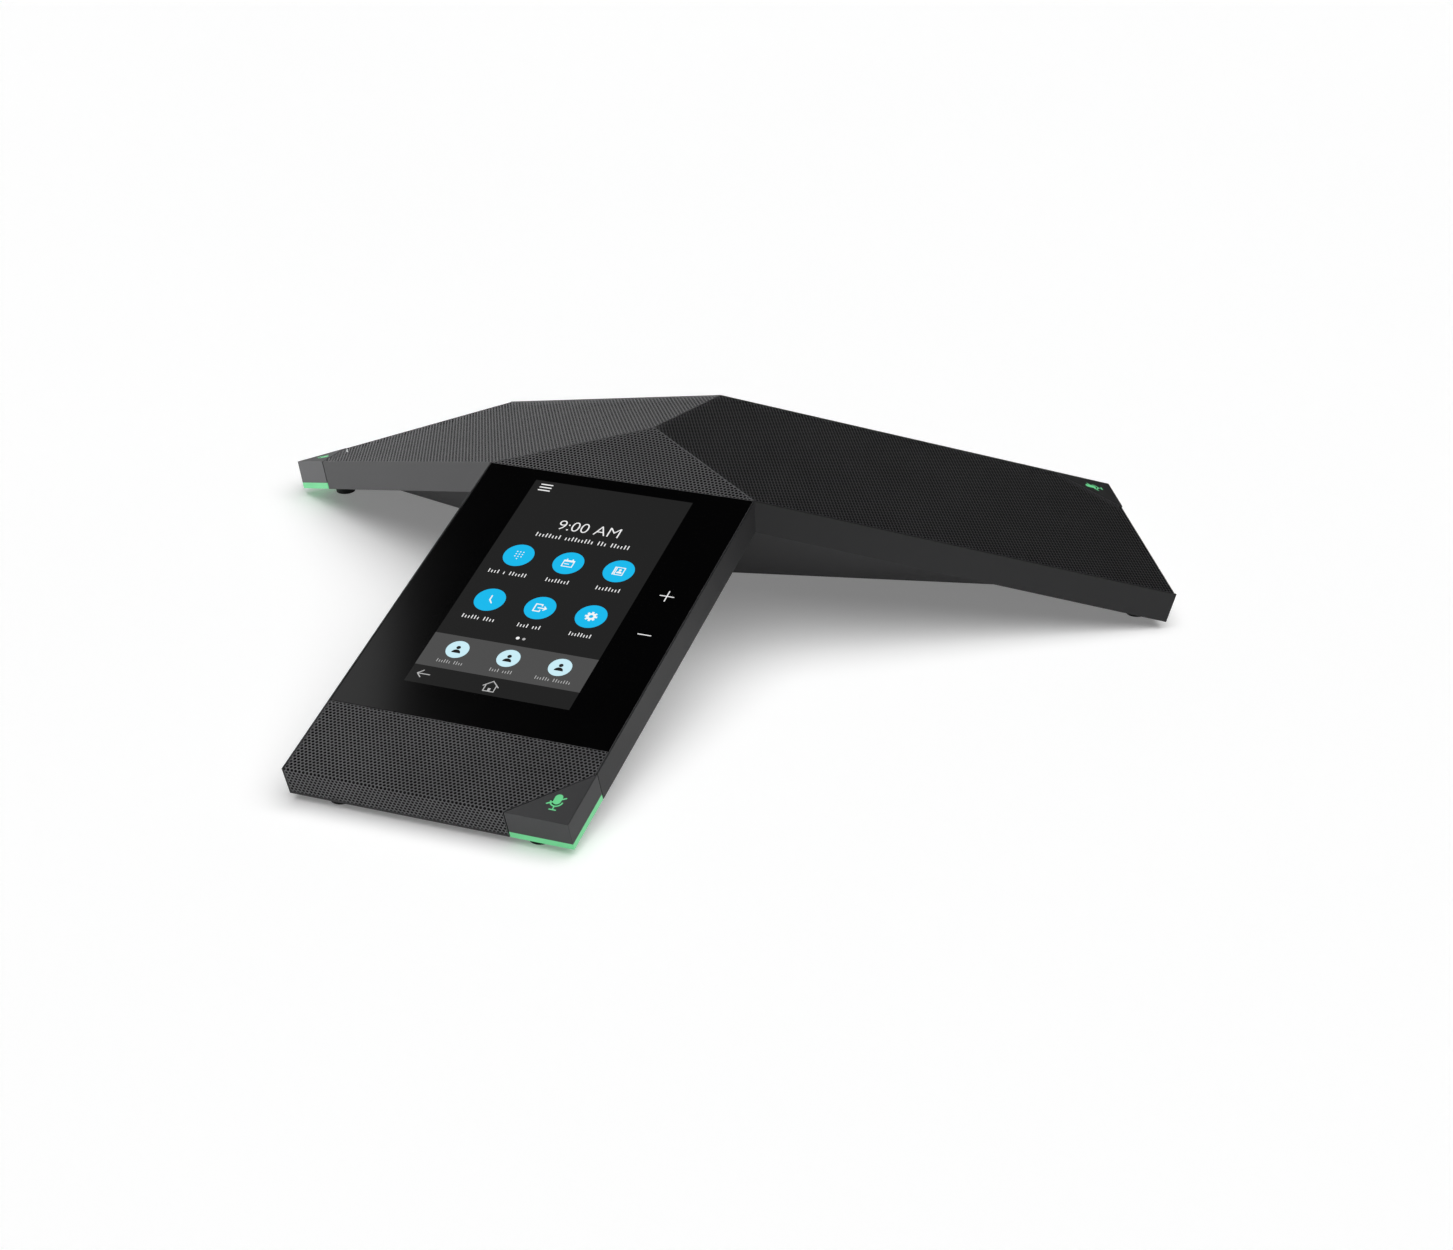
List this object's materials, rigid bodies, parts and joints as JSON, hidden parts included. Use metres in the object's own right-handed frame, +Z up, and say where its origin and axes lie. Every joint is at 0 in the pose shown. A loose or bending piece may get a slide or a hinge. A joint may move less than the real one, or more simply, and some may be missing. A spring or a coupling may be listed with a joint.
{
  "type": "conference phone",
  "caption": "Three-legged tabletop conference phone with sloping perforated grilles, a touch display on the front leg and a sprung lit mute key at each leg's tip.",
  "frame": {"origin": "on the table, in the middle of the plan's bounding rectangle", "axes": "+Z up, +X to the user's right, -Y toward the user along the front leg"},
  "size_m": [0.3828, 0.3314, 0.074],
  "materials": {
    "housing": "charcoal moulded plastic, fine matt",
    "grille": "dark grey painted perforated sheet",
    "cloth": "black acoustic cloth",
    "glass": "black-backed touch glass, gloss",
    "display": "lit colour display",
    "key": "charcoal moulded plastic, fine matt",
    "light": "frosted green light guide",
    "basket": "black pressed steel",
    "magnet": "dull ferrite and steel",
    "cone": "black pressed fibre",
    "rubber": "black matt rubber",
    "jack_metal": "plated shield",
    "jack_plastic": "black moulded",
    "circuit_board": "green solder mask",
    "steel": "zinc plated",
    "mic_metal": "bare can"
  },
  "bodies": {
    "housing": {"wall_frame": "housing", "bottom_cover": "housing", "centre_grille": "grille", "centre_cloth": "cloth", "cover_glass": "glass", "display_frame": "housing", "lcd_module": "display", "speaker_plate": "housing", "speaker_basket": "basket", "speaker_magnet": "magnet", "speaker_surround": "rubber", "ethernet_jack": "jack_metal", "usb_port": "jack_metal", "audio_jack": "jack_plastic", "main_board": "circuit_board", "processor_shield": "steel", "connector_board": "circuit_board", "lock_plate": "steel", "floor_screws": "steel", "driver_screws": "steel", "board_screws": "steel", "front_grille": "grille", "front_cloth": "cloth", "mute_switch_front": "jack_plastic", "mute_board_front": "circuit_board", "mic_boot_front": "rubber", "mic_capsule_front": "mic_metal", "feet_front": "rubber", "right_grille": "grille", "right_cloth": "cloth", "mute_switch_right": "jack_plastic", "mute_board_right": "circuit_board", "mic_boot_right": "rubber", "mic_capsule_right": "mic_metal", "feet_right": "rubber", "left_grille": "grille", "left_cloth": "cloth", "mute_switch_left": "jack_plastic", "mute_board_left": "circuit_board", "mic_boot_left": "rubber", "mic_capsule_left": "mic_metal", "feet_left": "rubber"},
    "speaker_diaphragm": {"speaker_cone": "cone"},
    "front_mute_key": {"mute_key_front": "key", "mute_lens_front": "light", "light_strip_front": "light", "mute_plunger_front": "jack_plastic"},
    "right_mute_key": {"mute_key_right": "key", "mute_lens_right": "light", "light_strip_right": "light", "mute_plunger_right": "jack_plastic"},
    "left_mute_key": {"mute_key_left": "key", "mute_lens_left": "light", "light_strip_left": "light", "mute_plunger_left": "jack_plastic"}
  },
  "joints": [
    {"name": "front_mute_press", "type": "slide", "parent": "housing", "child": "front_mute_key", "axis": [0, 0.3005, -0.9538], "range_m": [0, 0.0008], "stiffness_N_per_m": 1500},
    {"name": "right_mute_press", "type": "slide", "parent": "housing", "child": "right_mute_key", "axis": [-0.2602, -0.1503, -0.9538], "range_m": [0, 0.0008], "stiffness_N_per_m": 1500},
    {"name": "left_mute_press", "type": "slide", "parent": "housing", "child": "left_mute_key", "axis": [0.2602, -0.1503, -0.9538], "range_m": [0, 0.0008], "stiffness_N_per_m": 1500},
    {"name": "speaker_excursion", "type": "slide", "parent": "housing", "child": "speaker_diaphragm", "axis": [0, 0, 1], "range_m": [-0.0015, 0.0015], "stiffness_N_per_m": 1200, "deforming": ["speaker_surround"]}
  ]
}
